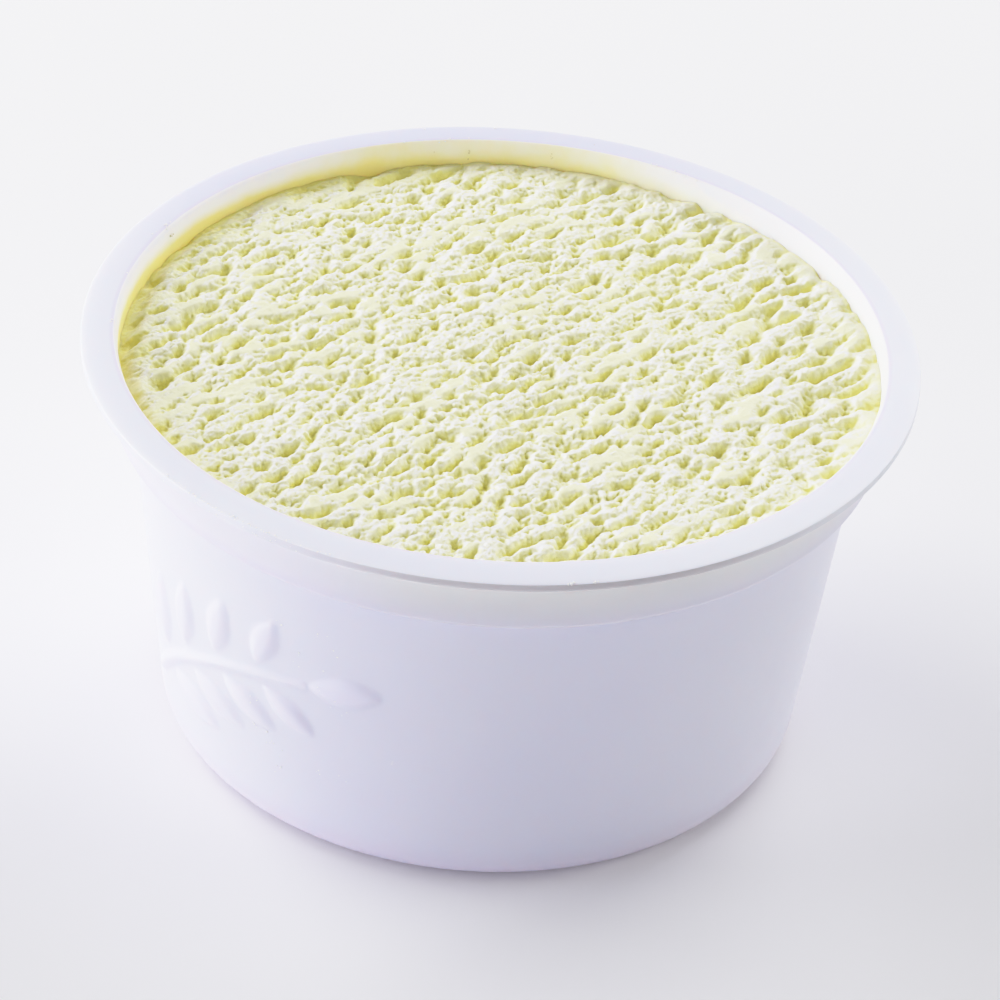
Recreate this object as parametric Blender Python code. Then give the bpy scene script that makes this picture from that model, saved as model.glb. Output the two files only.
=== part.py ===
"""A single-serve plastic cup filled with gelato, in metres, +Z up.

The origin is the centre of the cup's flat base. -Y is the front. The cup is one
turned moulding: a flat base with a rounded corner, a tapering wall, a stacking
shoulder, a straight neck and a thin flange. A leaf sprig is raised on its
front-left side. The gelato fills it to just under the flange and has a scraped top.
"""

import math

import bmesh
import bpy
import numpy as np

MM = 0.001

# Cup, millimetres
FLANGE_R = 44.0  # outer radius of the flange
FLANGE_Z = 45.0  # top of the flange at its outer edge
CREST_RISE = 0.3  # how far the flange rises towards the mouth
MOUTH_R = 40.5  # radius of the mouth's edge
LIP_T = 0.9  # thickness of the flange at its edge
NECK_R_TOP = 40.95  # outside of the neck under the flange
NECK_R_LOW = 40.75  # outside of the neck at the shoulder
SHOULDER_Z = 37.0  # underside of the stacking shoulder
SHOULDER_ROUND = 0.7
WALL_R_TOP = 38.65  # outside of the wall under the shoulder
WALL_R_LOW = 34.71  # outside of the wall, drawn on to the base plane
CORNER_R = 2.8  # round between wall and base
WALL_T = 0.8
FLOOR_T = 1.0
CUP_SEGMENTS = 60

# Leaf sprig raised on the wall, millimetres
SPRIG_AZIMUTH = -137.0  # degrees
SPRIG_Z = 15.5
SPRIG_LEAN = 64.0  # degrees, how far the stem leans to the right
SPRIG_STEM = 34.0  # length of the stem
SPRIG_BEND = 3.0  # how far the stem bows out
SPRIG_RISE = 0.6  # height of the relief
SPRIG_SINK = 0.35  # how deep its pieces reach into the wall
STEM_W = 1.8
LEAF_PAIRS = 4
LEAF_L = 9.2
LEAF_W = 4.3
LEAF_ANGLE = 50.0  # degrees between leaf and stem

# Gelato, millimetres
GAP = 0.3  # between the gelato and the cup
LEVEL_Z = 42.5  # mean level of the top
RIDGE_AZIMUTH = 50.0  # degrees, the way the scraped ridges run
RIDGE_PITCH = 2.7
RIDGE_DEPTH = 0.62  # crest to trough
RIDGE_STEP = 5.0  # spacing of points along a ridge

TAPER = math.atan2(WALL_R_TOP - WALL_R_LOW, SHOULDER_Z)


def clear_scene():
    for obj in list(bpy.data.objects):
        bpy.data.objects.remove(obj, do_unlink=True)


def material(name, colour, roughness, subsurface):
    made = bpy.data.materials.new(name)
    made.use_nodes = True
    shader = made.node_tree.nodes["Principled BSDF"]
    shader.inputs["Base Color"].default_value = (*colour, 1.0)
    shader.inputs["Roughness"].default_value = roughness
    shader.inputs["Metallic"].default_value = 0.0
    shader.inputs["Subsurface Weight"].default_value = subsurface
    shader.inputs["Subsurface Scale"].default_value = 0.002
    return made


def new_object(name, mesh, made=None):
    obj = bpy.data.objects.new(name, mesh)
    bpy.context.scene.collection.objects.link(obj)
    if made:
        mesh.materials.append(made)
    return obj


def arc(cx, cz, radius, start, end, steps):
    """Points on a circle from start to end, in degrees."""
    found = []
    for i in range(steps + 1):
        turn = math.radians(start + (end - start) * i / steps)
        found.append((cx + radius * math.cos(turn), cz + radius * math.sin(turn)))
    return found


def wall_r(z, inward=0.0):
    """Radius of the tapering wall at height z, moved in by a distance square to it."""
    return WALL_R_LOW + z * math.tan(TAPER) - inward / math.cos(TAPER)


def corner_centre():
    """Centre of the round between base and wall."""
    return WALL_R_LOW + CORNER_R * math.tan(TAPER) - CORNER_R / math.cos(TAPER)


def outside_profile():
    """(radius, height) from the base's centre, up the outside, to the flange's outer edge."""
    lean = math.degrees(TAPER)
    points = [(0.0, 0.0)]
    points += arc(corner_centre(), CORNER_R, CORNER_R, -90, -lean, 4)
    points += arc(wall_r(SHOULDER_Z - 0.5) + 0.5, SHOULDER_Z - 0.5, 0.5, 180 - lean, 90, 2)
    points += arc(NECK_R_LOW - SHOULDER_ROUND, SHOULDER_Z + SHOULDER_ROUND, SHOULDER_ROUND, -90, 0, 3)
    under = FLANGE_Z - LIP_T
    points += arc(NECK_R_TOP + 0.5, under - 0.5, 0.5, 180, 90, 2)
    points += arc(FLANGE_R - 0.25, under + 0.25, 0.25, -90, 0, 1)
    points += arc(FLANGE_R - 0.3, FLANGE_Z - 0.3, 0.3, 0, 90, 2)
    return points


def inside_profile(gap):
    """(radius, height) from the mouth down the inside to the floor's centre, moved inwards by a gap."""
    lean = math.degrees(TAPER)
    neck = NECK_R_LOW - WALL_T - gap
    ledge = SHOULDER_Z + WALL_T + gap
    wall_in = WALL_T + gap
    points = [(neck + 0.2, FLANGE_Z - 0.7)]
    points += arc(neck - 0.6, ledge + 0.6, 0.6, 0, -90, 2)
    top = ledge - 0.5
    points += arc(wall_r(top, wall_in) + 0.5, top, 0.5, 90, 180 - lean, 2)
    inner_corner = CORNER_R - wall_in
    shift = FLOOR_T - WALL_T
    centre_z = CORNER_R + shift
    points += arc(wall_r(centre_z, wall_in) - inner_corner * math.cos(TAPER), centre_z, inner_corner, -lean, -90, 3)
    points.append((0.0, points[-1][1]))
    return points


def flange_profile():
    """The flange's top face, rising gently to the mouth and rounding over into it."""
    points = []
    for r in (42.6, 41.5):
        share = (FLANGE_R - r) / (FLANGE_R - MOUTH_R)
        points.append((r, FLANGE_Z + CREST_RISE * math.sin(share * math.pi / 2)))
    points += arc(MOUTH_R + 0.25, FLANGE_Z + CREST_RISE - 0.35, 0.35, 90, 180, 3)
    return points


def turned(name, profile, segments):
    """A closed body turned about Z from a profile that starts and ends on the axis."""
    mesh = bmesh.new()
    first = mesh.verts.new((0, 0, profile[0][1] * MM))
    last = mesh.verts.new((0, 0, profile[-1][1] * MM))
    rings = []
    for r, z in profile[1:-1]:
        ring = []
        for i in range(segments):
            turn = 2 * math.pi * i / segments
            ring.append(mesh.verts.new((r * math.cos(turn) * MM, r * math.sin(turn) * MM, z * MM)))
        rings.append(ring)
    for i in range(segments):
        j = (i + 1) % segments
        mesh.faces.new((first, rings[0][j], rings[0][i]))
        mesh.faces.new((last, rings[-1][i], rings[-1][j]))
        for low, high in zip(rings, rings[1:]):
            mesh.faces.new((low[i], low[j], high[j], high[i]))
    bmesh.ops.recalc_face_normals(mesh, faces=mesh.faces)
    data = bpy.data.meshes.new(name)
    mesh.to_mesh(data)
    mesh.free()
    return data


def on_wall(across, up, out):
    """A point of the sprig: across and up along the wall, out square to it."""
    z = SPRIG_Z + up * math.cos(TAPER) - out * math.sin(TAPER)
    r = wall_r(SPRIG_Z + up * math.cos(TAPER)) + out * math.cos(TAPER)
    turn = math.radians(SPRIG_AZIMUTH) + across / wall_r(SPRIG_Z)
    return (r * math.cos(turn) * MM, r * math.sin(turn) * MM, z * MM)


def raised_band(mesh, centres, half_widths, heights, points):
    """Adds one closed body with a rounded top along a line of centres on the wall."""
    rings = []
    for k, (across, up) in enumerate(centres):
        before = centres[max(k - 1, 0)]
        after = centres[min(k + 1, len(centres) - 1)]
        length = math.hypot(after[0] - before[0], after[1] - before[1])
        side = ((after[1] - before[1]) / length, -(after[0] - before[0]) / length)
        ring = []
        for j in range(points + 1):
            turn = math.pi * j / points
            offset = half_widths[k] * math.cos(turn)
            rise = heights[k] * math.sin(turn)
            ring.append(mesh.verts.new(on_wall(across + side[0] * offset, up + side[1] * offset, rise)))
        for offset in (-half_widths[k], half_widths[k]):
            ring.append(mesh.verts.new(on_wall(across + side[0] * offset, up + side[1] * offset, -SPRIG_SINK)))
        rings.append(ring)
    count = len(rings[0])
    for low, high in zip(rings, rings[1:]):
        for j in range(count):
            n = (j + 1) % count
            mesh.faces.new((low[j], low[n], high[n], high[j]))
    mesh.faces.new(rings[0])
    mesh.faces.new(rings[-1])


def stem_point(share):
    """A point on the sprig's bowed stem, and its direction."""
    lean = math.radians(SPRIG_LEAN)
    along = (share - 0.5) * SPRIG_STEM
    bow = SPRIG_BEND * (1 - (2 * share - 1) ** 2)
    slope = -SPRIG_BEND * 4 * (2 * share - 1) / SPRIG_STEM
    across = along * math.sin(lean) - bow * math.cos(lean)
    up = along * math.cos(lean) + bow * math.sin(lean)
    heading = math.atan2(math.sin(lean) - slope * math.cos(lean), math.cos(lean) + slope * math.sin(lean))
    return across, up, heading


def add_leaf(mesh, across, up, heading, length, width):
    """A pointed leaf with a rounded back."""
    steps = 6
    centres, half_widths, heights = [], [], []
    for k in range(steps + 1):
        share = k / steps
        centres.append((across + math.sin(heading) * length * share, up + math.cos(heading) * length * share))
        shape = math.sin(math.pi * min(max(share * 0.92 + 0.04, 0), 1)) ** 0.85
        half_widths.append(max(width / 2 * shape, 0.14))
        heights.append(SPRIG_RISE * max(shape, 0.2) ** 0.5)
    raised_band(mesh, centres, half_widths, heights, 4)


def sprig():
    mesh = bmesh.new()
    steps = 13
    centres = [stem_point(0.9 * k / steps)[:2] for k in range(steps + 1)]
    half_widths = [STEM_W / 2 * (1 - 0.5 * k / steps) for k in range(steps + 1)]
    heights = [SPRIG_RISE * (0.85 - 0.25 * k / steps) for k in range(steps + 1)]
    raised_band(mesh, centres, half_widths, heights, 4)
    for k in range(LEAF_PAIRS):
        share = 0.12 + 0.58 * k / (LEAF_PAIRS - 1)
        across, up, heading = stem_point(share)
        size = 1.0 - 0.08 * k
        for side in (-1, 1):
            turn = heading + side * math.radians(LEAF_ANGLE)
            start = (STEM_W / 2 + 0.75) / math.sin(math.radians(LEAF_ANGLE))
            add_leaf(
                mesh,
                across + math.sin(turn) * start,
                up + math.cos(turn) * start,
                turn,
                LEAF_L * size,
                LEAF_W * size,
            )
    across, up, heading = stem_point(0.9)
    add_leaf(
        mesh,
        across + math.sin(heading) * 0.9,
        up + math.cos(heading) * 0.9,
        heading,
        LEAF_L * 0.85,
        LEAF_W * 0.9,
    )
    bmesh.ops.recalc_face_normals(mesh, faces=mesh.faces)
    data = bpy.data.meshes.new("sprig_relief")
    mesh.to_mesh(data)
    mesh.free()
    return data


def top_height(across, along):
    """Height of the scraped top: broken ridges on a gentle swell."""
    drift = 0.9 * math.sin(0.31 * along + 1.1) + 0.6 * math.sin(0.17 * along - 0.4 + 0.21 * across)
    strength = 0.62 + 0.38 * math.sin(0.23 * across + 0.11) * math.sin(0.29 * along + 0.7)
    ridge = 0.5 * RIDGE_DEPTH * strength * math.sin(2 * math.pi * across / RIDGE_PITCH + drift)
    swell = 0.22 * math.sin(0.11 * across + 0.6) + 0.18 * math.sin(0.13 * along - 0.9)
    return LEVEL_Z + ridge + swell


def scraped_block():
    """A block whose top holds the scraped surface, larger than the cup all round."""
    reach = FLANGE_R + 2
    step_across = RIDGE_PITCH / 3
    across = np.arange(-reach, reach + step_across, step_across)
    along = np.arange(-reach, reach + RIDGE_STEP, RIDGE_STEP)
    turn = math.radians(RIDGE_AZIMUTH)
    mesh = bmesh.new()
    top, low = [], []
    for a in across:
        top_row, low_row = [], []
        for b in along:
            x = b * math.cos(turn) - a * math.sin(turn)
            y = b * math.sin(turn) + a * math.cos(turn)
            top_row.append(mesh.verts.new((x * MM, y * MM, top_height(a, b) * MM)))
            low_row.append(mesh.verts.new((x * MM, y * MM, -5 * MM)))
        top.append(top_row)
        low.append(low_row)
    for i in range(len(across) - 1):
        for j in range(len(along) - 1):
            mesh.faces.new((top[i][j], top[i][j + 1], top[i + 1][j + 1], top[i + 1][j]))
    edge = [(i, 0) for i in range(len(across))]
    edge += [(len(across) - 1, j) for j in range(1, len(along))]
    edge += [(i, len(along) - 1) for i in range(len(across) - 2, -1, -1)]
    edge += [(0, j) for j in range(len(along) - 2, 0, -1)]
    for row in low:
        for vert in row[1:-1]:
            if row is not low[0] and row is not low[-1]:
                mesh.verts.remove(vert)
    for (i, j), (m, n) in zip(edge, edge[1:] + edge[:1]):
        mesh.faces.new((top[i][j], top[m][n], low[m][n], low[i][j]))
    mesh.faces.new([low[i][j] for i, j in edge])
    bmesh.ops.recalc_face_normals(mesh, faces=mesh.faces)
    data = bpy.data.meshes.new("scraped_block")
    mesh.to_mesh(data)
    mesh.free()
    return data


def hide_helper(obj):
    obj.hide_render = True
    obj.display_type = "WIRE"


def combine(obj, other, operation, solver):
    made = obj.modifiers.new(operation.lower(), "BOOLEAN")
    made.operation = operation
    made.solver = solver
    made.object = other


def shade(obj, degrees):
    obj.data.shade_smooth()
    obj.data.set_sharp_from_angle(angle=math.radians(degrees))


def main():
    clear_scene()
    plastic = material("cup_plastic", (0.80, 0.80, 0.88), 0.38, 0.3)
    frozen = material("gelato", (0.83, 0.82, 0.52), 0.55, 0.2)

    cup = new_object("cup", turned("cup", outside_profile() + flange_profile() + inside_profile(0.0), CUP_SEGMENTS), plastic)
    relief = new_object("sprig_relief", sprig())
    hide_helper(relief)
    # The exact solver drops the thin shell of the cup in this union, so the manifold one joins it.
    combine(cup, relief, "UNION", "MANIFOLD")
    shade(cup, 30)

    filling_profile = [(0.0, FLANGE_Z + 3)] + [(NECK_R_LOW - WALL_T - GAP + 0.2, FLANGE_Z + 3)] + inside_profile(GAP)
    gelato = new_object("gelato", turned("gelato", filling_profile, CUP_SEGMENTS), frozen)
    block = new_object("scraped_block", scraped_block())
    hide_helper(block)
    combine(gelato, block, "INTERSECT", "EXACT")
    shade(gelato, 30)


main()
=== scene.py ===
"""Looks of the filled gelato cup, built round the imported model. Metres, +Z up, -Y is the front."""

import math

import bpy
import numpy as np
from mathutils import Matrix, Vector
from mathutils.bvhtree import BVHTree


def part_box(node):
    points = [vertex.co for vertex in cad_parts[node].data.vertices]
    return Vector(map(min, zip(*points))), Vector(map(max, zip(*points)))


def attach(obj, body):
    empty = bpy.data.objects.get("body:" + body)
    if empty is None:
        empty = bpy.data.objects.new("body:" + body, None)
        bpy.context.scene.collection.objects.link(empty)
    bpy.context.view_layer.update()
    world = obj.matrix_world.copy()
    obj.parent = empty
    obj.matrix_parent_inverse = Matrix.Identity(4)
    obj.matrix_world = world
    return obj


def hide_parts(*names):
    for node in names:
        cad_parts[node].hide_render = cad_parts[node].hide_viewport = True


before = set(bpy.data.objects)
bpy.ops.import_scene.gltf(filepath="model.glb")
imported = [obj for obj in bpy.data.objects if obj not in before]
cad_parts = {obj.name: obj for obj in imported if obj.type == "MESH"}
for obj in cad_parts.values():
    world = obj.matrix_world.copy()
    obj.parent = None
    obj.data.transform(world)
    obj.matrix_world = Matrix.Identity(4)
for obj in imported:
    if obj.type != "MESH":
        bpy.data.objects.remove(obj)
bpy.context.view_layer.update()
cup_low, cup_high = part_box("cup")
MM = 0.001

# ---------------------------------------------------------------- sizes, millimetres
TOP = cup_high.z / MM  # highest line of the flange
CREST_RISE = 0.3
FLANGE_Z = TOP - CREST_RISE
FLANGE_R = cup_high.x / MM
MOUTH_R = 40.5
LIP_T = 0.9
NECK_R_TOP = 40.95
NECK_R_LOW = 40.75
SHOULDER_Z = 37.0
SHOULDER_ROUND = 0.7
WALL_R_TOP = 38.65
WALL_R_LOW = 34.71
CORNER_R = 2.8
WALL_T = 0.8
FLOOR_T = 1.0
LEVEL_Z = 42.5
TAPER = math.atan2(WALL_R_TOP - WALL_R_LOW, SHOULDER_Z)

SPRIG_AZIMUTH = -137.0
SPRIG_Z = 15.5
SPRIG_LEAN = 64.0
SPRIG_STEM = 34.0
SPRIG_BEND = 3.0
SPRIG_RISE = 0.6
STEM_W = 1.8
LEAF_PAIRS = 4
LEAF_L = 9.2
LEAF_W = 4.3
LEAF_ANGLE = 50.0

RIDGE_AZIMUTH = 44.0

# studio lights: name, azimuth and elevation in degrees, watts, colour
LIGHTS = (
    ("back_left", 150, 38, 9.0, (1.0, 1.0, 1.045)),
    ("left", 180, 14, 9.6, (1.0, 0.995, 1.03)),
    ("back_right", 60, 38, 7.8, (1.0, 1.0, 1.06)),
    ("right", 10, 14, 7.0, (1.01, 1.0, 0.99)),
    ("front_left", 232, 14, 4.5, (1.01, 0.99, 1.04)),
    ("front", 258, 8, 0.4, (1.0, 0.99, 1.03)),
)
WORLD = 0.18


# ---------------------------------------------------------------- helpers
def smooth(low, high, x):
    t = np.clip((x - low) / (high - low), 0.0, 1.0)
    return t * t * (3.0 - 2.0 * t)


def arc(cx, cz, radius, start, end, steps):
    found = []
    for i in range(steps + 1):
        turn = math.radians(start + (end - start) * i / steps)
        found.append((cx + radius * math.cos(turn), cz + radius * math.sin(turn)))
    return found


def wall_r(z, inward=0.0):
    return WALL_R_LOW + z * math.tan(TAPER) - inward / math.cos(TAPER)


def corner_centre():
    return WALL_R_LOW + CORNER_R * math.tan(TAPER) - CORNER_R / math.cos(TAPER)


def mesh_object(name, points, faces, material, smooth_shading=True):
    """An object from a numpy array of points and a numpy array of quads or triangles."""
    mesh = bpy.data.meshes.new(name)
    count, sides = faces.shape
    mesh.vertices.add(len(points))
    mesh.vertices.foreach_set("co", np.ascontiguousarray(points, dtype=np.float32).ravel())
    mesh.loops.add(count * sides)
    mesh.loops.foreach_set("vertex_index", np.ascontiguousarray(faces, dtype=np.int32).ravel())
    mesh.polygons.add(count)
    mesh.polygons.foreach_set("loop_start", np.arange(0, count * sides, sides, dtype=np.int32))
    mesh.update(calc_edges=True)
    mesh.validate()
    mesh.polygons.foreach_set("use_smooth", np.full(len(mesh.polygons), smooth_shading))
    mesh.materials.append(material)
    obj = bpy.data.objects.new(name, mesh)
    bpy.context.scene.collection.objects.link(obj)
    return obj


# ---------------------------------------------------------------- materials
class Nodes:
    """Short names for building a node tree."""

    def __init__(self, name):
        self.material = bpy.data.materials.new(name)
        self.material.use_nodes = True
        self.tree = self.material.node_tree
        self.shader = self.tree.nodes["Principled BSDF"]
        self.output = self.tree.nodes["Material Output"]

    def add(self, kind, **values):
        node = self.tree.nodes.new(kind)
        for key, value in values.items():
            setattr(node, key, value)
        return node

    def link(self, a, b):
        self.tree.links.new(a, b)

    def set(self, node, **values):
        for key, value in values.items():
            node.inputs[key.replace("_", " ")].default_value = value

    def noise(self, vector, scale, detail=3.0, roughness=0.55, distortion=0.0):
        node = self.add("ShaderNodeTexNoise")
        self.link(vector, node.inputs["Vector"])
        node.inputs["Scale"].default_value = scale
        node.inputs["Detail"].default_value = detail
        node.inputs["Roughness"].default_value = roughness
        node.inputs["Distortion"].default_value = distortion
        return node.outputs["Fac"]

    def ramp(self, value, stops):
        node = self.add("ShaderNodeValToRGB")
        self.link(value, node.inputs["Fac"])
        while len(node.color_ramp.elements) < len(stops):
            node.color_ramp.elements.new(0.5)
        for element, (place, colour) in zip(node.color_ramp.elements, stops):
            element.position = place
            element.color = (*colour, 1.0)
        return node.outputs["Color"]

    def span(self, value, low, high, to_low, to_high):
        node = self.add("ShaderNodeMapRange")
        self.link(value, node.inputs["Value"])
        node.inputs["From Min"].default_value = low
        node.inputs["From Max"].default_value = high
        node.inputs["To Min"].default_value = to_low
        node.inputs["To Max"].default_value = to_high
        return node.outputs["Result"]

    def mix(self, factor, a, b, mode="MIX"):
        node = self.add("ShaderNodeMix", data_type="RGBA", blend_type=mode)
        for value, socket in ((factor, node.inputs[0]), (a, node.inputs[6]), (b, node.inputs[7])):
            if isinstance(value, (int, float)):
                socket.default_value = value
            elif isinstance(value, tuple):
                socket.default_value = (*value, 1.0)
            else:
                self.link(value, socket)
        return node.outputs[2]

    def math(self, kind, a, b=None):
        node = self.add("ShaderNodeMath", operation=kind)
        for value, socket in ((a, node.inputs[0]), (b, node.inputs[1])):
            if value is None:
                continue
            if isinstance(value, (int, float)):
                socket.default_value = value
            else:
                self.link(value, socket)
        return node.outputs[0]

    def bump(self, height, strength, distance, normal=None):
        node = self.add("ShaderNodeBump")
        self.link(height, node.inputs["Height"])
        node.inputs["Strength"].default_value = strength
        node.inputs["Distance"].default_value = distance
        if normal is not None:
            self.link(normal, node.inputs["Normal"])
        return node.outputs["Normal"]


def plastic_material():
    """Milky injection-moulded plastic, faintly violet, satin, with a very fine grain, a thin coat of gelato inside,
    and painted light and shade multiplied in from a colour on the cup's points.
    """
    n = Nodes("cup_plastic")
    place = n.add("ShaderNodeTexCoord").outputs["Object"]
    film_and_glow = n.add("ShaderNodeAttribute", attribute_name="film_and_glow").outputs["Fac"]
    broad = n.noise(place, 55.0, 2.0, 0.5)
    painted_light_and_shade = n.add("ShaderNodeAttribute", attribute_name="painted_light_and_shade").outputs["Color"]
    clean = n.ramp(broad, [(0.3, (0.72, 0.706, 0.918)), (0.7, (0.74, 0.726, 0.932))])
    # painted light and shade from the cup's points multiply the plastic's colour
    clean = n.mix(1.0, clean, painted_light_and_shade, "MULTIPLY")
    streak = n.noise(place, 260.0, 4.0, 0.6)
    # gelato coat on the inside, its colours also holding painted glow, with painted shade darkest next to the filling
    share = n.span(n.math("ADD", film_and_glow, n.span(streak, 0.3, 0.7, -0.1, 0.1)), 0.1, 0.95, 0.0, 1.0)
    stain_and_glow = n.ramp(share, [(0.0, (0.93, 0.90, 0.93)), (0.35, (0.98, 0.92, 0.86)), (0.7, (0.97, 0.88, 0.66)), (1.0, (0.93, 0.81, 0.36))])
    n.link(n.mix(n.span(share, 0.0, 0.15, 0.0, 1.0), clean, stain_and_glow), n.shader.inputs["Base Color"])
    haze = n.noise(place, 420.0, 3.0, 0.6)
    n.link(n.span(haze, 0.3, 0.7, 0.36, 0.46), n.shader.inputs["Roughness"])
    grain = n.noise(place, 2600.0, 2.0, 0.6)
    n.link(n.bump(grain, 0.12, 0.00002), n.shader.inputs["Normal"])
    n.set(n.shader, IOR=1.49)
    n.shader.inputs["Specular IOR Level"].default_value = 0.45
    n.shader.inputs["Subsurface Weight"].default_value = 0.9
    n.shader.inputs["Subsurface Radius"].default_value = (1.0, 0.78, 0.75)
    n.shader.inputs["Subsurface Scale"].default_value = 0.0018
    return n.material


def gelato_material(name, scatter):
    """Pale yellow-green frozen gelato, with painted shade in its colour: whiter where the studio light reaches, deeper
    yellow where it does not, with a little random tone and ice grain.
    """
    n = Nodes(name)
    place = n.add("ShaderNodeTexCoord").outputs["Object"]
    painted_shade = n.add("ShaderNodeAttribute", attribute_name="painted_shade").outputs["Fac"]
    broad = n.noise(place, 150.0, 3.0, 0.55)
    # painted shade from the points, with a little random tone
    shade_and_tone = n.math("ADD", painted_shade, n.span(broad, 0.3, 0.7, -0.04, 0.04))
    stops = [
        (0.0, (0.995, 0.986, 0.905)),
        (0.15, (0.994, 0.983, 0.765)),
        (0.35, (0.988, 0.972, 0.66)),
        (0.6, (0.985, 0.966, 0.54)),
        (0.85, (0.975, 0.93, 0.39)),
        (1.0, (0.965, 0.89, 0.29)),
    ]
    crumble = n.add("ShaderNodeAttribute", attribute_name="crumble").outputs["Fac"]
    flat = n.mix(n.span(shade_and_tone, 0.3, 0.6, 0.0, 1.0), (0.968, 0.963, 0.64), n.ramp(shade_and_tone, stops))
    n.link(n.mix(n.span(crumble, 0.2, 0.6, 0.0, 1.0), flat, n.ramp(shade_and_tone, stops)), n.shader.inputs["Base Color"])
    fine = n.noise(place, 3000.0, 3.0, 0.65)
    grit = n.noise(place, 7000.0, 2.0, 0.6)
    n.link(n.span(fine, 0.35, 0.7, 0.48, 0.32), n.shader.inputs["Roughness"])
    knobs = n.bump(n.noise(place, 1700.0, 2.0, 0.5), 0.5, 0.00016)
    first = n.bump(fine, 0.55, 0.00009, knobs)
    n.link(n.bump(grit, 0.4, 0.00004, first), n.shader.inputs["Normal"])
    n.set(n.shader, IOR=1.5)
    n.shader.inputs["Specular IOR Level"].default_value = 0.5
    n.shader.inputs["Specular Tint"].default_value = (1.0, 0.985, 0.86, 1.0)
    n.shader.inputs["Subsurface Weight"].default_value = scatter
    n.shader.inputs["Subsurface Radius"].default_value = (1.0, 1.0, 0.85)
    n.shader.inputs["Subsurface Scale"].default_value = 0.0004
    return n.material


def frost_material():
    """Dry white ice crystals."""
    n = Nodes("frost")
    place = n.add("ShaderNodeTexCoord").outputs["Object"]
    speck = n.noise(place, 4000.0, 2.0, 0.6)
    n.link(n.ramp(speck, [(0.3, (0.95, 0.95, 0.96)), (0.7, (0.985, 0.985, 0.99))]), n.shader.inputs["Base Color"])
    n.link(n.span(speck, 0.3, 0.7, 0.35, 0.55), n.shader.inputs["Roughness"])
    n.set(n.shader, IOR=1.31)
    return n.material


def smear_material():
    """Dried drops of gelato and syrup on the plastic."""
    n = Nodes("smear")
    place = n.add("ShaderNodeTexCoord").outputs["Object"]
    speck = n.noise(place, 1800.0, 2.0, 0.6)
    n.link(n.ramp(speck, [(0.3, (0.66, 0.55, 0.28)), (0.7, (0.76, 0.67, 0.42))]), n.shader.inputs["Base Color"])
    n.link(n.span(speck, 0.3, 0.7, 0.3, 0.5), n.shader.inputs["Roughness"])
    return n.material


def floor_material():
    n = Nodes("floor")
    place = n.add("ShaderNodeTexCoord").outputs["Object"]
    broad = n.noise(place, 6.0, 2.0, 0.5)
    n.link(n.ramp(broad, [(0.3, (0.93, 0.93, 0.935)), (0.7, (0.94, 0.94, 0.945))]), n.shader.inputs["Base Color"])
    n.set(n.shader, Roughness=0.9)
    n.shader.inputs["Specular IOR Level"].default_value = 0.1
    return n.material


# ---------------------------------------------------------------- noise on a square grid
FIELD_STEP = 0.12
FIELD_N = 704
FIELD_HALF = FIELD_N * FIELD_STEP / 2
_fx = np.fft.fftfreq(FIELD_N, FIELD_STEP)
FREQ_X, FREQ_Y = np.meshgrid(_fx, _fx)
_turn = math.radians(RIDGE_AZIMUTH)
FREQ_ACROSS = -FREQ_X * math.sin(_turn) + FREQ_Y * math.cos(_turn)
FREQ_ALONG = FREQ_X * math.cos(_turn) + FREQ_Y * math.sin(_turn)


def white(seed):
    return np.random.RandomState(seed).normal(size=(FIELD_N, FIELD_N))


def filtered(field, kernel):
    return np.fft.ifft2(np.fft.fft2(field) * kernel).real


def unit(field):
    return (field - field.mean()) / field.std()


def blur(field, across, along=None):
    """A field softened by a round, or by an oval that lies along the ridges; sizes in millimetres."""
    along = across if along is None else along
    return filtered(field, np.exp(-2 * math.pi**2 * ((FREQ_ACROSS * across) ** 2 + (FREQ_ALONG * along) ** 2)))


def band(seed, fine, coarse, stretch=1.0):
    """Noise between two sizes in millimetres, drawn out along the ridges by stretch."""
    first = white(seed)
    return unit(unit(blur(first, fine, fine * stretch)) - 0.8 * unit(blur(first, coarse, coarse * stretch)))


def ridge_noise(seed, pitch, spread_across, spread_along):
    """Noise whose waves lie along the ridges, about pitch millimetres apart; the spreads are in waves for each millimetre."""
    kernel = np.exp(
        -0.5 * ((np.abs(FREQ_ACROSS) - 1 / pitch) / spread_across) ** 2 - 0.5 * (FREQ_ALONG / spread_along) ** 2
    )
    return unit(filtered(white(seed), kernel))


def sample(field, x, y):
    """Value of a field at points in millimetres, between grid points."""
    u = (x + FIELD_HALF) / FIELD_STEP
    v = (y + FIELD_HALF) / FIELD_STEP
    i = np.floor(u).astype(int)
    j = np.floor(v).astype(int)
    a, b = u - i, v - j
    i0, i1, j0, j1 = i % FIELD_N, (i + 1) % FIELD_N, j % FIELD_N, (j + 1) % FIELD_N
    return (
        field[j0, i0] * (1 - a) * (1 - b)
        + field[j0, i1] * a * (1 - b)
        + field[j1, i0] * (1 - a) * b
        + field[j1, i1] * a * b
    )


def cells(seed, x, y, size):
    """Distance to the nearest of scattered points, and a random value for that point; size is their spacing."""
    u, v = x / size, y / size
    i, j = np.floor(u).astype(int), np.floor(v).astype(int)
    table = np.random.RandomState(seed).rand(512, 512, 3)
    best = np.full(x.shape, 9.0)
    value = np.zeros(x.shape)
    for di in (-1, 0, 1):
        for dj in (-1, 0, 1):
            ci, cj = (i + di) % 512, (j + dj) % 512
            d = np.hypot(u - i - di - table[ci, cj, 0], v - j - dj - table[ci, cj, 1])
            nearer = d < best
            value = np.where(nearer, table[ci, cj, 2], value)
            best = np.minimum(best, d)
    return best, value


# ---------------------------------------------------------------- gelato
GRID_LINE = (np.arange(FIELD_N) + 0.0) * FIELD_STEP - FIELD_HALF
GRID_X, GRID_Y = np.meshgrid(GRID_LINE, GRID_LINE)


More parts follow.
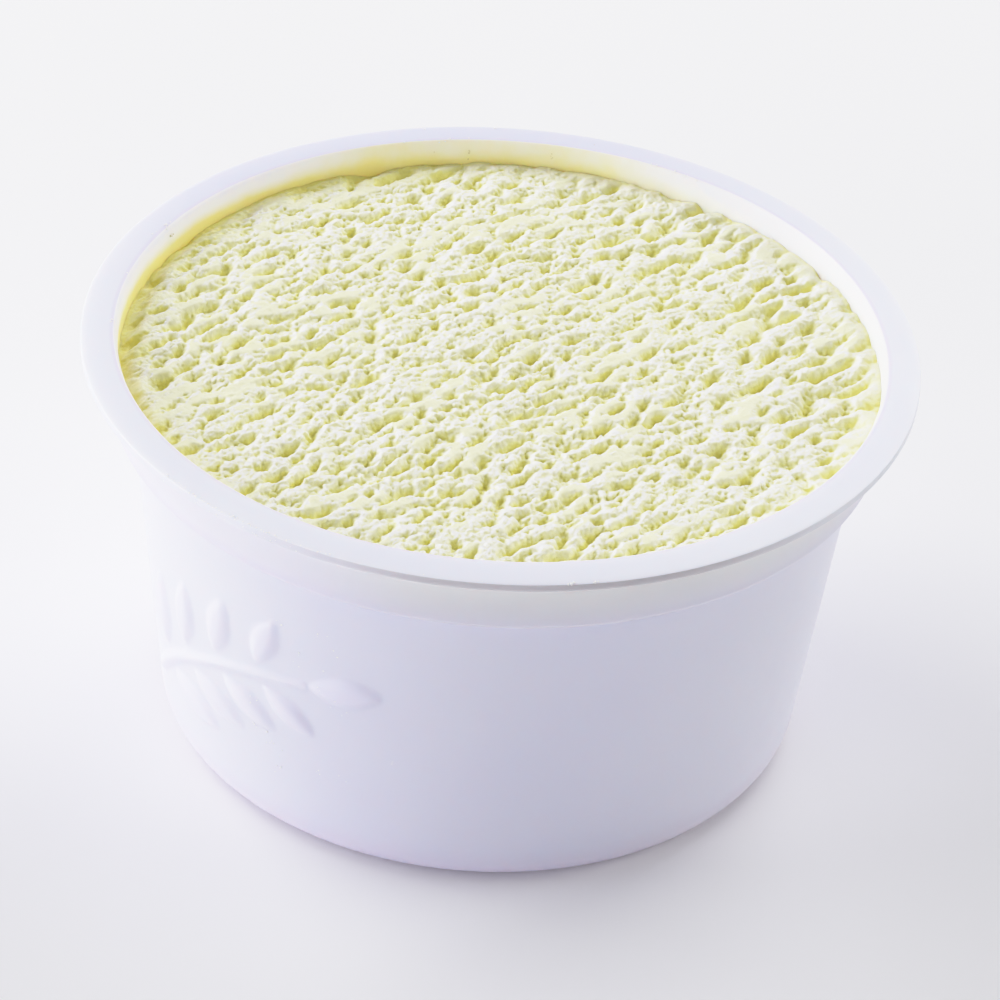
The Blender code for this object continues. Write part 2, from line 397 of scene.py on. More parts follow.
def openness(px, py, height):
    """How much light reaches each point of a displaced grid, against level ground in the open."""
    px, py, pz = blur(px - GRID_X, 0.05) + GRID_X, blur(py - GRID_Y, 0.05) + GRID_Y, blur(height, 0.05)
    (xy, xx), (yy, yx), (zy, zx) = np.gradient(px), np.gradient(py), np.gradient(pz)
    nx, ny, nz = yx * zy - zx * yy, zx * xy - xx * zy, xx * yy - yx * xy
    size = np.sqrt(nx**2 + ny**2 + nz**2)
    total, level = np.zeros(height.shape), 0.0
    for _, azimuth, elevation, power, _ in LIGHTS:
        a, e = math.radians(azimuth), math.radians(elevation)
        way = (math.cos(a) * math.cos(e), math.sin(a) * math.cos(e), math.sin(e))
        facing = np.maximum((nx * way[0] + ny * way[1] + nz * way[2]) / size, 0)
        above = np.full(height.shape, -1.0)
        for k in range(1, 9):
            reach = 0.17 * k
            shift = (-int(round(reach * math.sin(a) / FIELD_STEP)), -int(round(reach * math.cos(a) / FIELD_STEP)))
            if shift != (0, 0):
                above = np.maximum(above, np.roll(height, shift, (0, 1)) - height - reach * math.tan(e))
        total += 0.221 * power * facing * (1 - smooth(-0.05, 0.12, above))
        level += 0.221 * power * way[2]
    hollow = 1.2 * (blur(height, 0.9) - height) + 1.2 * (blur(height, 0.3) - height)
    sky = math.pi * WORLD + 0.35 * level
    return (total + sky * np.exp(-1.6 * np.maximum(hollow, -0.2))) / (level + sky)


def scraped_top():
    """Points of the scraped top on the grid, in millimetres, with the painted shade and how crumbly each point is,
    from 0 to 1.
    """
    x, y = GRID_X, GRID_Y
    ridges = ridge_noise(11, 2.6, 0.17, 0.18)
    lumps = band(12, 0.25, 0.66, 2.3)
    wide_ridges = ridge_noise(31, 3.3, 0.13, 0.16)
    wide_lumps = band(32, 0.38, 1.0, 2.2)
    broken = band(13, 0.15, 0.36)
    tilt = band(18, 0.9, 2.4)
    broad = unit(blur(white(19), 4.5))
    patches = unit(blur(white(16), 1.3, 2.0))
    wander_x, wander_y = band(14, 0.2, 0.7), band(15, 0.2, 0.7)
    rough = smooth(-0.9, 0.9, patches)

    # each ridge leans over: its far side is gentle and its near side is torn
    far = smooth(2.0, 34.0, x + 0.45 * y + 2.5 * patches)
    spin = np.degrees(np.arctan2(y, x)) % 360
    shaded = smooth(34.8, 38.8, np.hypot(x, y) + patches) * smooth(85.0, 115.0, spin) * smooth(228.0, 205.0, spin)
    far = np.maximum(far, 0.9 * shaded)
    coarse = unit((1 - far) * (0.74 * ridges + 0.50 * lumps) + far * (0.62 * wide_ridges + 0.60 * wide_lumps) + 0.26 * tilt)
    lean = 0.05 * coarse + 0.012 * broken
    wx = x - 0.87 * lean + 0.06 * wander_x
    wy = y + 0.50 * lean + 0.06 * wander_y
    base = sample(coarse, wx, wy) + (0.10 + 0.10 * rough) * broken
    # scraped flat on top, torn open below
    k = 2.2
    cut = 0.0 + 0.22 * sample(patches, x + 7.0, y - 5.0)
    drop = np.log1p(np.exp(-k * (base + cut))) / k
    height = -(0.51 + 0.15 * far) * drop + 0.05 * tilt + 0.13 * broad + 0.035 * lumps * smooth(0.3, 1.2, base)
    height = 0.35 * height + 0.65 * blur(height, 0.15)
    gy, gx = np.gradient(blur(height, 0.1), FIELD_STEP)
    steep = np.clip(blur(smooth(0.5, 1.2, np.hypot(gx, gy)), 0.12), 0, 1)
    height = (1 - 0.8 * steep) * height + 0.8 * steep * blur(height, 0.24)

    # near the wall: heaped a little, with a narrow groove where it has shrunk from the plastic
    r = np.hypot(x, y)
    turn = np.arctan2(y, x)
    round_it = np.degrees(turn) % 360
    left = smooth(122.0, 152.0, round_it) * smooth(218.0, 196.0, round_it)
    right = 0.5 + 0.5 * np.cos(turn - math.radians(0))
    edge = smooth(36.4, 38.8, r)
    height = height * (1 - 0.3 * edge) + edge * (0.05 + 0.36 * right**2)
    rim = smooth(38.4, 39.6, r)
    height = (1 - 0.8 * rim) * height + 0.8 * rim * blur(height, 0.6)
    height = height - 0.08 * smooth(39.25, 39.8, r + 0.1 * lumps)
    height = height - 0.75 * left * smooth(37.6, 39.7, r + 0.15 * lumps)

    # ice grains stand out square to the torn faces, fewer on the near sides
    soft = blur(height, 0.1)
    gy, gx = np.gradient(soft, FIELD_STEP)
    size = np.sqrt(gx**2 + gy**2 + 1)
    cx, cy = wx - 0.7 * height, wy + 0.8 * height
    d1, v1 = cells(21, cx, cy, 0.72)
    d2, v2 = cells(22, cx + 3.1, cy - 1.7, 0.44)
    knob1 = np.sqrt(np.clip(1 - (d1 * 1.45) ** 2, 0, 1)) * smooth(0.25, 0.75, v1)
    knob2 = np.sqrt(np.clip(1 - (d2 * 1.25) ** 2, 0, 1)) * smooth(0.1, 0.8, v2)
    flat = smooth(0.55, 0.15, rough) * smooth(0.25, 0.05, drop)
    crumble = 0.06 + 0.94 * (1 - flat)
    grain = 0.15 * (knob1 - 0.2) + 0.155 * (knob2 - 0.3) + 0.015 * broken
    grain = crumble * (1 - 0.35 * steep) * (1 - 0.5 * np.maximum(shaded, edge)) * (1 - 0.3 * far) * grain + 0.008 * broken
    px = x - grain * gx / size
    py = y - grain * gy / size
    pz = height + grain / size

    # painted shade: the colour follows an estimate of how much studio light reaches each point, whiter where much
    # does, yellower where little does
    lit = openness(px, py, pz)
    # with painted shadow of the cup wall near the left and back, a little painted shade next to the wall all round, a
    # painted dark line in the groove at the wall, and slightly more over the larger features
    painted_shade = np.clip((1.14 - lit) / 0.85 + 0.05 * far + 0.4 * shaded + 0.14 * edge + 0.25 * smooth(39.55, 39.85, r), 0, 1)
    return px, py, pz, painted_shade, crumble


def gelato_piece(material, top):
    """The filling: a scraped top on a closed body that reaches just into the cup's wall."""
    outer = NECK_R_LOW - WALL_T + 0.22
    px, py, pz, painted_shade, crumble = top
    inside = np.hypot(GRID_X, GRID_Y) <= outer
    cell = inside[:-1, :-1] | inside[1:, :-1] | inside[:-1, 1:] | inside[1:, 1:]
    used = np.zeros(inside.shape, bool)
    used[:-1, :-1] |= cell
    used[1:, :-1] |= cell
    used[:-1, 1:] |= cell
    used[1:, 1:] |= cell
    # the outermost points lie on the circle inside the wall
    r = np.hypot(GRID_X, GRID_Y)
    scale = outer / np.maximum(r, 1e-6)
    rim = used & (r > outer)
    px, py = np.where(rim, GRID_X * scale, px), np.where(rim, GRID_Y * scale, py)
    pr = np.hypot(px, py)
    far = used & ~rim & (pr > outer - 0.02)
    px, py = np.where(far, px * (outer - 0.02) / pr, px), np.where(far, py * (outer - 0.02) / pr, py)
    index = np.full(inside.shape, -1)
    index[used] = np.arange(used.sum())
    points = np.stack([px[used], py[used], LEVEL_Z + pz[used]], 1)
    top_count = len(points)
    rows, cols = np.nonzero(cell)
    quads = np.stack([index[rows, cols], index[rows, cols + 1], index[rows + 1, cols + 1], index[rows + 1, cols]], 1)
    # the loop round the outside, in order
    sides = np.concatenate([quads[:, [0, 1]], quads[:, [1, 2]], quads[:, [2, 3]], quads[:, [3, 0]]])
    keys = sides.min(1) * len(points) + sides.max(1)
    _, first, counts = np.unique(keys, return_index=True, return_counts=True)
    ends = {int(a): int(b) for a, b in sides[first[counts == 1]]}
    loop = [next(iter(ends))]
    while ends[loop[-1]] != loop[0]:
        loop.append(ends[loop[-1]])
    loop = np.array(loop)
    turn = np.arctan2(points[loop, 1], points[loop, 0])
    ledge = SHOULDER_Z + WALL_T - 0.3
    rings = [loop]
    levels = [(outer, ledge + 0.4), (outer - 0.4, ledge), (wall_r(ledge, WALL_T - 0.3), ledge - 0.2)]
    levels += [(wall_r(4.0, WALL_T - 0.3), 4.0), (wall_r(1.5, WALL_T) - 1.2, FLOOR_T - 0.3)]
    total = top_count
    all_points = [points]
    walls = []
    for radius, z in levels:
        all_points.append(np.stack([radius * np.cos(turn), radius * np.sin(turn), np.full(len(turn), z)], 1))
        rings.append(np.arange(total, total + len(turn)))
        total += len(turn)
    for upper, lower in zip(rings, rings[1:]):
        walls.append(np.stack([upper, lower, np.roll(lower, -1), np.roll(upper, -1)], 1))
    all_points.append(np.array([[0.0, 0.0, FLOOR_T - 0.3]]))
    low = rings[-1]
    fan = np.stack([low, np.full(len(low), total), np.roll(low, -1)], 1)
    points = np.concatenate(all_points)
    quads = np.concatenate([quads] + walls)
    faces = np.concatenate([quads[:, [0, 1, 2]], quads[:, [0, 2, 3]], fan])
    obj = mesh_object("gelato_scraped", points * MM, faces, material)
    # the painted shade and the crumbliness go on the top's points
    for name, field in (("painted_shade", painted_shade), ("crumble", crumble)):
        values = np.zeros(len(points), np.float32)
        values[:top_count] = field[used]
        obj.data.attributes.new(name, "FLOAT", "POINT").data.foreach_set("value", values)
    return obj


def scattered(name, material, rng, centres, sizes, stretch=0.3, dent=0.09):
    """Small uneven lumps at the given places, in millimetres, as one mesh: each is a turned, dented icosahedron."""
    gold = (1 + 5**0.5) / 2
    shape = np.array([(0, a, b * gold) for a in (-1, 1) for b in (-1, 1)], float)
    shape = np.concatenate([shape, shape[:, [2, 0, 1]], shape[:, [1, 2, 0]]])
    shape /= np.linalg.norm(shape[0])
    near = 2.3 * np.sort(np.linalg.norm(shape[0] - shape, axis=1))[1] / 2
    faces = []
    for i in range(12):
        for j in range(i + 1, 12):
            for k in range(j + 1, 12):
                a, b, c = shape[i], shape[j], shape[k]
                if max(np.linalg.norm(a - b), np.linalg.norm(b - c), np.linalg.norm(c - a)) < near:
                    outward = np.dot(np.cross(b - a, c - a), a + b + c) > 0
                    faces.append((i, j, k) if outward else (i, k, j))
    faces = np.array(faces)
    count = len(centres)
    axes = np.linalg.qr(rng.normal(size=(count, 3, 3)))[0]
    lumps = shape[None] * (1 + dent * rng.normal(size=(count, 12, 1))) * (1 + stretch * (rng.rand(count, 1, 3) - 0.5))
    points = np.einsum("nij,nkj->nki", axes, lumps) * sizes[:, None, None] + centres[:, None, :]
    flipped = np.linalg.det(axes) < 0
    index = faces[None] + 12 * np.arange(count)[:, None, None]
    index[flipped] = index[flipped][:, :, ::-1]
    return mesh_object(name, points.reshape(-1, 3) * MM, index.reshape(-1, 3), material)


# ---------------------------------------------------------------- cup
def stem_point(share):
    lean = math.radians(SPRIG_LEAN)
    along = (share - 0.5) * SPRIG_STEM
    bow = SPRIG_BEND * (1 - (2 * share - 1) ** 2)
    slope = -SPRIG_BEND * 4 * (2 * share - 1) / SPRIG_STEM
    across = along * math.sin(lean) - bow * math.cos(lean)
    up = along * math.cos(lean) + bow * math.sin(lean)
    heading = math.atan2(math.sin(lean) - slope * math.cos(lean), math.cos(lean) + slope * math.sin(lean))
    return across, up, heading


def leaf_relief(across, up, start, heading, length, width):
    """Height of one leaf at points of the wall: a rounded back with a fine vein pressed into it."""
    dx, dy = across - start[0], up - start[1]
    along = dx * math.sin(heading) + dy * math.cos(heading)
    side = dx * math.cos(heading) - dy * math.sin(heading)
    share = np.clip(along / length, 0.0, 1.0)
    shape = np.sin(math.pi * (share * 0.96 + 0.02)) ** 0.85
    half = np.maximum(width / 2 * shape, 0.05)
    q = np.abs(side) / half
    body = np.where((along > 0) & (along < length) & (q < 1), (1 - q**2.4) * shape**0.5, 0.0)
    vein = 0.16 * np.exp(-((side / 0.2) ** 2)) * smooth(0.02, 0.15, share) * (1 - smooth(0.75, 0.95, share))
    return SPRIG_RISE * np.maximum(body - vein * (body > 0.2), 0.0)


def sprig_relief(across, up):
    """Height of the whole sprig at points of the wall, in millimetres."""
    height = np.zeros(across.shape)
    for k in range(80):
        share = 0.9 * k / 79
        a, b, _ = stem_point(share)
        half = STEM_W / 2 * (1 - 0.5 * share / 0.9)
        q = np.hypot(across - a, up - b) / half
        rise = SPRIG_RISE * (0.85 - 0.25 * share / 0.9)
        height = np.maximum(height, np.where(q < 1, rise * (1 - q**2.4), 0.0))
    for k in range(LEAF_PAIRS):
        share = 0.12 + 0.58 * k / (LEAF_PAIRS - 1)
        a, b, heading = stem_point(share)
        size = 1.0 - 0.08 * k
        for side in (-1, 1):
            turn = heading + side * math.radians(LEAF_ANGLE)
            offset = (STEM_W / 2 + 0.75) / math.sin(math.radians(LEAF_ANGLE))
            start = (a + math.sin(turn) * offset, b + math.cos(turn) * offset)
            height = np.maximum(height, leaf_relief(across, up, start, turn, LEAF_L * size, LEAF_W * size))
    a, b, heading = stem_point(0.9)
    start = (a + math.sin(heading) * 0.9, b + math.cos(heading) * 0.9)
    return np.maximum(height, leaf_relief(across, up, start, heading, LEAF_L * 0.85, LEAF_W * 0.9))


def line_between(a, b, step):
    """Points from a to b, without a, about step apart."""
    length = math.hypot(b[0] - a[0], b[1] - a[1])
    count = max(1, int(round(length / step)))
    return [(a[0] + (b[0] - a[0]) * i / count, a[1] + (b[1] - a[1]) * i / count) for i in range(1, count + 1)]


def joined(parts, step):
    """One line through runs of points, with the straight stretches between them filled in."""
    points = list(parts[0])
    for part in parts[1:]:
        points += line_between(points[-1], part[0], step)[:-1]
        points += part
    return points


def cup_profile():
    """(radius, height) all the way round the cup's section, from the base's centre to the floor's."""
    lean = math.degrees(TAPER)
    under = FLANGE_Z - LIP_T
    neck = NECK_R_LOW - WALL_T
    ledge = SHOULDER_Z + WALL_T
    outside = joined(
        [
            [(0.0, 0.0), (6.0, 0.0), (14.0, 0.0), (22.0, 0.0), (29.0, 0.0)],
            arc(corner_centre(), CORNER_R, CORNER_R, -90, -lean, 12),
            [(wall_r(6.0), 6.0)],
        ],
        2.0,
    )
    wall = [(wall_r(z), z) for z in np.arange(6.23, 32.0, 0.23)]
    upper = joined(
        [
            [wall[-1]],
            arc(wall_r(SHOULDER_Z - 0.35) + 0.35, SHOULDER_Z - 0.35, 0.35, 180 - lean, 90, 5),
            arc(NECK_R_LOW - SHOULDER_ROUND, SHOULDER_Z + SHOULDER_ROUND, SHOULDER_ROUND, -90, 0, 8),
            arc(NECK_R_TOP + 0.5, under - 0.5, 0.5, 180, 90, 6),
            arc(FLANGE_R - 0.12, under + 0.12, 0.12, -90, 0, 5),
            arc(FLANGE_R - 0.16, FLANGE_Z - 0.16, 0.16, 0, 85, 6),
        ],
        0.9,
    )[1:]
    top = []
    for share in np.linspace(0.14, 0.9, 9):
        r = FLANGE_R + (MOUTH_R + 0.25 - FLANGE_R) * share
        top.append((r, FLANGE_Z + CREST_RISE * math.sin(share * math.pi / 2)))
    inside = joined(
        [
            arc(MOUTH_R + 0.25, TOP - 0.35, 0.35, 90, 180, 8),
            [(neck + 0.2, FLANGE_Z - 0.7)],
            arc(neck - 0.6, ledge + 0.6, 0.6, 0, -90, 5),
            arc(wall_r(ledge - 0.5, WALL_T) + 0.5, ledge - 0.5, 0.5, 90, 180 - lean, 5),
            arc(
                wall_r(CORNER_R + FLOOR_T - WALL_T, WALL_T) - (CORNER_R - WALL_T) * math.cos(TAPER),
                CORNER_R + FLOOR_T - WALL_T,
                CORNER_R - WALL_T,
                -lean,
                -90,
                8,
            ),
            [(20.0, FLOOR_T), (10.0, FLOOR_T), (0.0, FLOOR_T)],
        ],
        1.6,
    )
    return outside + wall + upper + top + inside, len(outside), len(outside) + len(wall)


def cup_piece(material):
    profile, wall_from, wall_to = cup_profile()
    centre = math.radians(SPRIG_AZIMUTH)
    half = 21.6 / wall_r(SPRIG_Z)
    fine = np.arange(-half, half, 0.23 / wall_r(SPRIG_Z))
    rest = np.linspace(half, 2 * math.pi - half, 186, endpoint=False)
    turns = centre + np.concatenate([fine, rest])
    profile = np.array(profile)
    rings = profile[1:-1]
    r = np.repeat(rings[:, 0][:, None], len(turns), 1)
    z = np.repeat(rings[:, 1][:, None], len(turns), 1)
    # the sprig stands out square to the wall
    band_rows = slice(wall_from - 1, wall_to - 1)
    across = np.repeat(((turns - centre + math.pi) % (2 * math.pi) - math.pi)[None], wall_to - wall_from, 0)
    across = across * wall_r(SPRIG_Z)
    up = (z[band_rows] - SPRIG_Z) / math.cos(TAPER)
    relief = sprig_relief(across, up)
    # soft feet: a small blur over the evenly spaced part
    kernel = np.exp(-0.5 * (np.arange(-3, 4) / 1.15) ** 2)
    kernel /= kernel.sum()
    for axis in (0, 1):
        relief = np.apply_along_axis(lambda v: np.convolve(v, kernel, mode="same"), axis, relief)
    r[band_rows] += relief * math.cos(TAPER)
    z[band_rows] -= relief * math.sin(TAPER)
    points = np.stack([r * np.cos(turns)[None], r * np.sin(turns)[None], z], -1).reshape(-1, 3)
    points = np.concatenate([points, [[0, 0, profile[0, 1]], [0, 0, profile[-1, 1]]]])
    n, m = len(rings), len(turns)
    index = np.arange(n * m).reshape(n, m)
    nxt = np.roll(index, -1, 1)
    quads = np.stack([index[:-1], nxt[:-1], nxt[1:], index[1:]], -1).reshape(-1, 4)
    low = np.stack([np.full(m, n * m), nxt[0], index[0]], 1)
    high = np.stack([np.full(m, n * m + 1), index[-1], nxt[-1]], 1)
    faces = np.concatenate([quads[:, [0, 1, 2]], quads[:, [0, 2, 3]], low, high])
    obj = mesh_object("cup_moulding", points * MM, faces, material)
    # a coat of gelato on the inside, left and back, thinning upwards; partly painted glow, the yellow of light bounced
    # from the filling and let through the wall, reaching higher on the left
    radius = np.hypot(points[:, 0], points[:, 1])
    turn = np.degrees(np.arctan2(points[:, 1], points[:, 0])) % 360
    inner = (radius < MOUTH_R + 0.1) & (points[:, 2] > SHOULDER_Z + 2.0)
    round_it = smooth(35, 85, turn) * (1 - smooth(215, 260, turn))
    left = smooth(122, 152, turn) * smooth(218, 196, turn)
    olive = smooth(48, 78, turn) * smooth(135, 112, turn)
    film_and_glow = inner * round_it * (1 - (0.85 - 0.5 * olive) * smooth(LEVEL_Z - 0.3 + 0.6 * left, TOP - 0.4, points[:, 2]))
    obj.data.attributes.new("film_and_glow", "FLOAT", "POINT").data.foreach_set("value", film_and_glow.astype(np.float32))
    # painted light and shade, multiplied into the plastic's colour part by part: the flange, the neck, the lip, the
    # inner wall, the outer wall and the base
    z = points[:, 2]
    ahead = smooth(232, 264, turn) * smooth(360, 335, turn)
    aside = smooth(255, 300, turn) * smooth(360, 335, turn)
    painted_light_and_shade = np.ones((len(points), 3))
    # painted light on the flange: its top lighter, with painted shade towards the back
    flange = (radius > NECK_R_TOP) & (z > FLANGE_Z - 0.06)
    behind = smooth(40, 75, turn) * smooth(170, 135, turn)
    painted_light_and_shade[flange] = (1.0 - 0.09 * behind[flange])[:, None] * np.array([[1.065, 1.125, 1.07]])
    # painted shade and glow on the neck: darker at its lowest part, and at the front a yellowish painted glow, as of
    # light through the filling, brightest under the lip
    neck = (radius > NECK_R_LOW - 0.6) & (z > SHOULDER_Z) & (z < FLANGE_Z - LIP_T)
    share = (z - SHOULDER_Z - 1.0) / (FLANGE_Z - LIP_T - SHOULDER_Z - 1.4)
    for k in range(3):
        neck_shading = np.interp(share, [-0.15, 0.1, 1.0], [(0.90, 0.87, 0.89)[k], (1.06, 1.03, 1.03)[k], (1.06, 1.03, 1.03)[k]])
        neck_glow = np.interp(share, [-0.15, 0.1, 0.5, 1.0], [c[k] for c in ((0.85, 0.86, 0.80), (0.96, 0.96, 0.83), (1.06, 1.05, 0.83), (1.22, 1.22, 0.91))])
        painted_light_and_shade[:, k] = np.where(neck, 1.03 * ((1 - ahead) * neck_shading + ahead * neck_glow), painted_light_and_shade[:, k])
    # painted shade on the lip: greyer and less blue at the front and side, lighter again towards the front right
    lip = (radius > FLANGE_R - 1.0) & (z <= FLANGE_Z - 0.06) & (z > FLANGE_Z - LIP_T - 0.1)
    lighter = smooth(290, 328, turn)
    lip_shade = 0.98 - 0.26 * ahead * (1 - 0.5 * lighter) - 0.12 * aside * (1 - lighter)
    hue = np.array([[1.0, 1.04, 0.98]]) - ahead[:, None] * np.array([[0.02, 0.02, 0.14]]) + (ahead * lighter)[:, None] * np.array([[0.0, 0.04, 0.06]])
    painted_light_and_shade[lip] = (lip_shade[:, None] * hue)[lip]
    # painted glow on the inner wall above the shoulder: lighter and yellower, as from light let through the wall and
    # bounced from the filling
    painted_light_and_shade[inner] = (1.19, 1.20, 1.03)
    # painted light on the outer wall: lighter on the left and front left; less blue towards the front right
    wall = (z < SHOULDER_Z) & (radius > 30)
    painted_light_and_shade[wall] *= (1 + 0.05 * smooth(248, 215, turn) * (turn > 170))[wall][:, None]
    painted_light_and_shade[wall, 2] *= (1 - 0.06 * smooth(275, 312, turn) * smooth(360, 345, turn))[wall]
    # painted shade near the bottom: darker towards the base, most in green and blue
    bottom_shade = smooth(5.0, 0.5, z) * (radius > 20) * (z < 6)
    painted_light_and_shade *= 1 - bottom_shade[:, None] * np.array([0.03, 0.09, 0.10])
    colour = np.concatenate([painted_light_and_shade, np.ones((len(painted_light_and_shade), 1))], 1).astype(np.float32)
    obj.data.attributes.new("painted_light_and_shade", "FLOAT_COLOR", "POINT").data.foreach_set("color", colour.ravel())
    return obj


# ---------------------------------------------------------------- frost and specks
def surface_of(obj):
    """A tree of the object's faces, in millimetres, to place small things on."""
    count = len(obj.data.vertices)
    points = np.empty(count * 3)
    obj.data.vertices.foreach_get("co", points)
    faces = np.empty(len(obj.data.polygons) * 3, np.int32)
    obj.data.polygons.foreach_get("vertices", faces)
    return BVHTree.FromPolygons((points.reshape(-1, 3) / MM).tolist(), faces.reshape(-1, 3).tolist())


def place_on(tree, kind, turn, reach):
    """Where a ray meets the cup: down at a radius, or level towards or from the axis at a height. Turn in degrees."""
    a = math.radians(turn)
    out = Vector((math.cos(a), math.sin(a), 0.0))
    if kind == "top":
        hit, normal, _, _ = tree.ray_cast(out * reach + Vector((0, 0, 60.0)), Vector((0, 0, -1.0)))
    elif kind == "outside":
        hit, normal, _, _ = tree.ray_cast(out * 60.0 + Vector((0, 0, reach)), -out)
    else:
        hit, normal, _, _ = tree.ray_cast(out * 37.0 + Vector((0, 0, reach)), out)
    return (hit, normal) if hit is not None else None


# kind, turn, reach (radius or height), how many, spread round and across in millimetres, largest size
FROST = (
    ("top", 155.2, 40.7, 7, 0.5, 0.15, 0.22),
    ("top", 157.8, 41.2, 3, 0.2, 0.10, 0.16),
    ("top", 170.0, 40.6, 3, 0.8, 0.10, 0.12),
    ("top", 183.5, 40.8, 4, 0.3, 0.12, 0.16),
    ("top", 192.0, 42.6, 3, 0.6, 0.30, 0.12),
    ("top", 101.8, 40.6, 8, 1.6, 0.12, 0.13),
    ("top", 64.2, 40.6, 9, 2.6, 0.12, 0.13),
    ("top", 103.9, 43.4, 2, 0.1, 0.10, 0.18),
    ("top", 93.3, 43.4, 2, 0.1, 0.10, 0.18),
    ("top", 227.0, 43.75, 12, 1.3, 0.10, 0.13),
    ("top", 231.5, 43.80, 16, 1.7, 0.09, 0.13),
    ("top", 239.0, 43.80, 22, 2.6, 0.09, 0.13),
    ("top", 246.5, 43.80, 9, 1.6, 0.09, 0.12),
    ("top", 262.0, 43.80, 5, 5.0, 0.08, 0.09),
    ("top", 283.0, 43.82, 7, 1.2, 0.06, 0.17),
    ("top", 278.0, 43.82, 4, 3.0, 0.06, 0.12),
    ("outside", 230.0, 44.45, 9, 1.6, 0.15, 0.12),
    ("outside", 240.0, 44.45, 12, 2.2, 0.15, 0.12),
    ("outside", 237.0, 29.3, 3, 0.4, 0.4, 0.13),
    ("outside", 247.2, 28.4, 2, 0.3, 0.3, 0.12),
    ("outside", 245.3, 29.8, 3, 0.6, 0.6, 0.10),
    ("outside", 241.7, 25.8, 4, 0.9, 0.9, 0.12),
    ("outside", 244.8, 24.0, 4, 0.9, 0.9, 0.12),
    ("outside", 247.8, 21.4, 4, 0.8, 0.9, 0.10),
    ("outside", 231.2, 16.8, 3, 0.3, 0.4, 0.16),
    ("outside", 231.2, 12.8, 4, 0.8, 0.5, 0.13),
    ("outside", 234.6, 12.6, 4, 0.7, 0.5, 0.16),
    ("outside", 236.0, 11.5, 3, 0.5, 0.5, 0.13),
    ("outside", 236.4, 9.0, 3, 0.4, 0.5, 0.16),
    ("outside", 243.8, 11.2, 3, 0.4, 0.4, 0.13),
    ("outside", 248.7, 11.5, 2, 0.3, 0.3, 0.12),
    ("outside", 256.8, 15.4, 2, 0.3, 0.3, 0.10),
)
SPECKS = (
    ("inside", 97.4, 43.5, 9, 0.07, 0.38, 0.11),
    ("inside", 84.2, 44.0, 4, 0.08, 0.20, 0.10),
    ("inside", 103.1, 44.0, 1, 0.05, 0.05, 0.10),
    ("inside", 155.2, 44.2, 4, 0.22, 0.12, 0.16),
    ("top", 77.9, 41.92, 1, 0.05, 0.05, 0.14),
    ("outside", 298.1, 14.63, 3, 0.18, 0.05, 0.08),
    ("outside", 269.3, 43.2, 4, 0.30, 0.08, 0.11),
    ("outside", 261.5, 43.3, 2, 0.12, 0.08, 0.09),
)


def sprinkled(name, material, tree, spots, seed):
    """Low grains frozen on to the cup round each spot, each centred three tenths of its size under the surface."""
    rng = np.random.RandomState(seed)
    centres, sizes = [], []
    for kind, turn, reach, count, round_it, over, largest in spots:
        for _ in range(count):
            step = math.degrees(round_it * rng.normal() / 40.0)
            landed = place_on(tree, kind, turn + step, reach + over * np.clip(rng.normal(), -1.6, 1.6))
            size = largest * (0.45 + 0.55 * rng.rand() ** 1.5)
            if landed is None:
                continue
            hit, normal = landed
            centres.append(np.array(hit - normal * (0.3 * size)))
            sizes.append(size)
    return scattered(name, material, rng, np.array(centres), np.array(sizes), 0.6, 0.10)


# ---------------------------------------------------------------- camera, light, floor
def camera():
    """The viewing angle: 450 mm from the middle of the rim, 32.6 degrees above it, rolled a little."""
    focal, distance = 4291.49, 450.0
    elevation, roll = 0.5697, 0.0715
    aim_x, aim_y = 502.006, 337.328
    place = Vector((0.0, -distance * math.cos(elevation), distance * math.sin(elevation)))
    ahead = -place.normalized()
    right0 = Vector((1.0, 0.0, 0.0))
    up0 = right0.cross(ahead)
    right1 = math.cos(roll) * right0 + math.sin(roll) * up0
    up1 = -math.sin(roll) * right0 + math.cos(roll) * up0
    aim = Vector(((aim_x - 500) / focal, -(aim_y - 500) / focal, 1.0)).normalized()
    turn = aim.rotation_difference(Vector((0.0, 0.0, 1.0))).to_matrix()
    base = Matrix((right1, up1, ahead)).transposed()
    axes = base @ turn
    x_axis, y_axis, z_axis = axes @ Vector((1, 0, 0)), axes @ Vector((0, 1, 0)), -(axes @ Vector((0, 0, 1)))
    made = bpy.data.cameras.new("camera")
    made.sensor_width = 36.0
    made.lens = focal * 36.0 / 1000.0
    made.clip_start, made.clip_end = 0.01, 50.0
    obj = bpy.data.objects.new("camera", made)
    bpy.context.scene.collection.objects.link(obj)
    matrix = Matrix((x_axis, y_axis, z_axis)).transposed().to_4x4()
    matrix.translation = place * MM + Vector((0, 0, FLANGE_Z * MM))
    obj.matrix_world = matrix
    bpy.context.scene.camera = obj


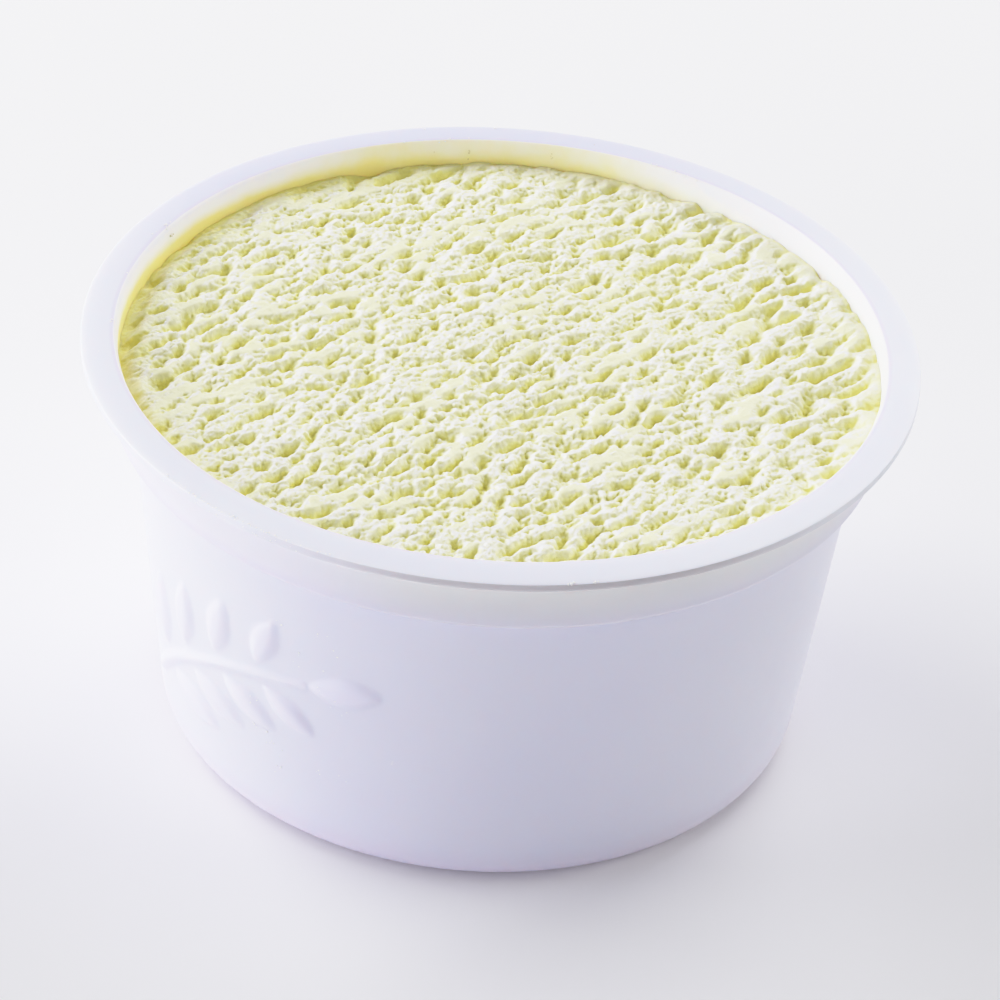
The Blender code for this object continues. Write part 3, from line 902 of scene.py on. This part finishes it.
def area_light(name, azimuth, elevation, distance, size, power, colour):
    made = bpy.data.lights.new(name, "AREA")
    made.shape = "DISK"
    made.size = size
    made.energy = power
    made.color = colour
    obj = bpy.data.objects.new(name, made)
    bpy.context.scene.collection.objects.link(obj)
    a, e = math.radians(azimuth), math.radians(elevation)
    way = Vector((math.cos(a) * math.cos(e), math.sin(a) * math.cos(e), math.sin(e)))
    obj.location = way * distance + Vector((0, 0, 0.03))
    obj.rotation_euler = way.to_track_quat("Z", "Y").to_euler()
    return obj


def tone_curve(view):
    """A soft shoulder for the highlights, as in studio product pictures, so that white plastic keeps its shading."""
    view.view_transform = "Standard"
    view.use_curve_mapping = True
    mapping = view.curve_mapping
    mapping.white_level = (2.0, 2.0, 2.0)
    curve = mapping.curves[3]
    for place, value in ((0.125, 0.249), (0.25, 0.485), (0.375, 0.685), (0.5, 0.825), (0.625, 0.905), (0.75, 0.95)):
        curve.points.new(place, value)
    mapping.update()


def stage():
    size = 6.0
    points = np.array([(-size, -size, 0), (size, -size, 0), (size, size, 0), (-size, size, 0)], float)
    floor = mesh_object("floor", points, np.array([[0, 1, 2, 3]]), floor_material(), False)
    floor.location.z = -0.0002
    world = bpy.data.worlds.new("studio")
    world.use_nodes = True
    world.node_tree.nodes["Background"].inputs["Color"].default_value = (1.0, 0.995, 0.99, 1.0)
    world.node_tree.nodes["Background"].inputs["Strength"].default_value = WORLD
    bpy.context.scene.world = world
    for name, azimuth, elevation, power, colour in LIGHTS:
        area_light(name, azimuth, elevation, 1.2, 0.8, power, colour)
    tone_curve(bpy.context.scene.view_settings)


camera()
plastic = plastic_material()
frozen = gelato_material("gelato_frozen", 0.85)

cup = cup_piece(plastic)
cup_surface = surface_of(cup)
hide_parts("cup")
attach(cup, "root")

top = scraped_top()
gelato = gelato_piece(frozen, top)
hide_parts("gelato")
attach(gelato, "root")

frost = sprinkled("frost_grains", frost_material(), cup_surface, FROST, 5)
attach(frost, "root")

specks = sprinkled("specks", smear_material(), cup_surface, SPECKS, 6)
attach(specks, "root")

stage()
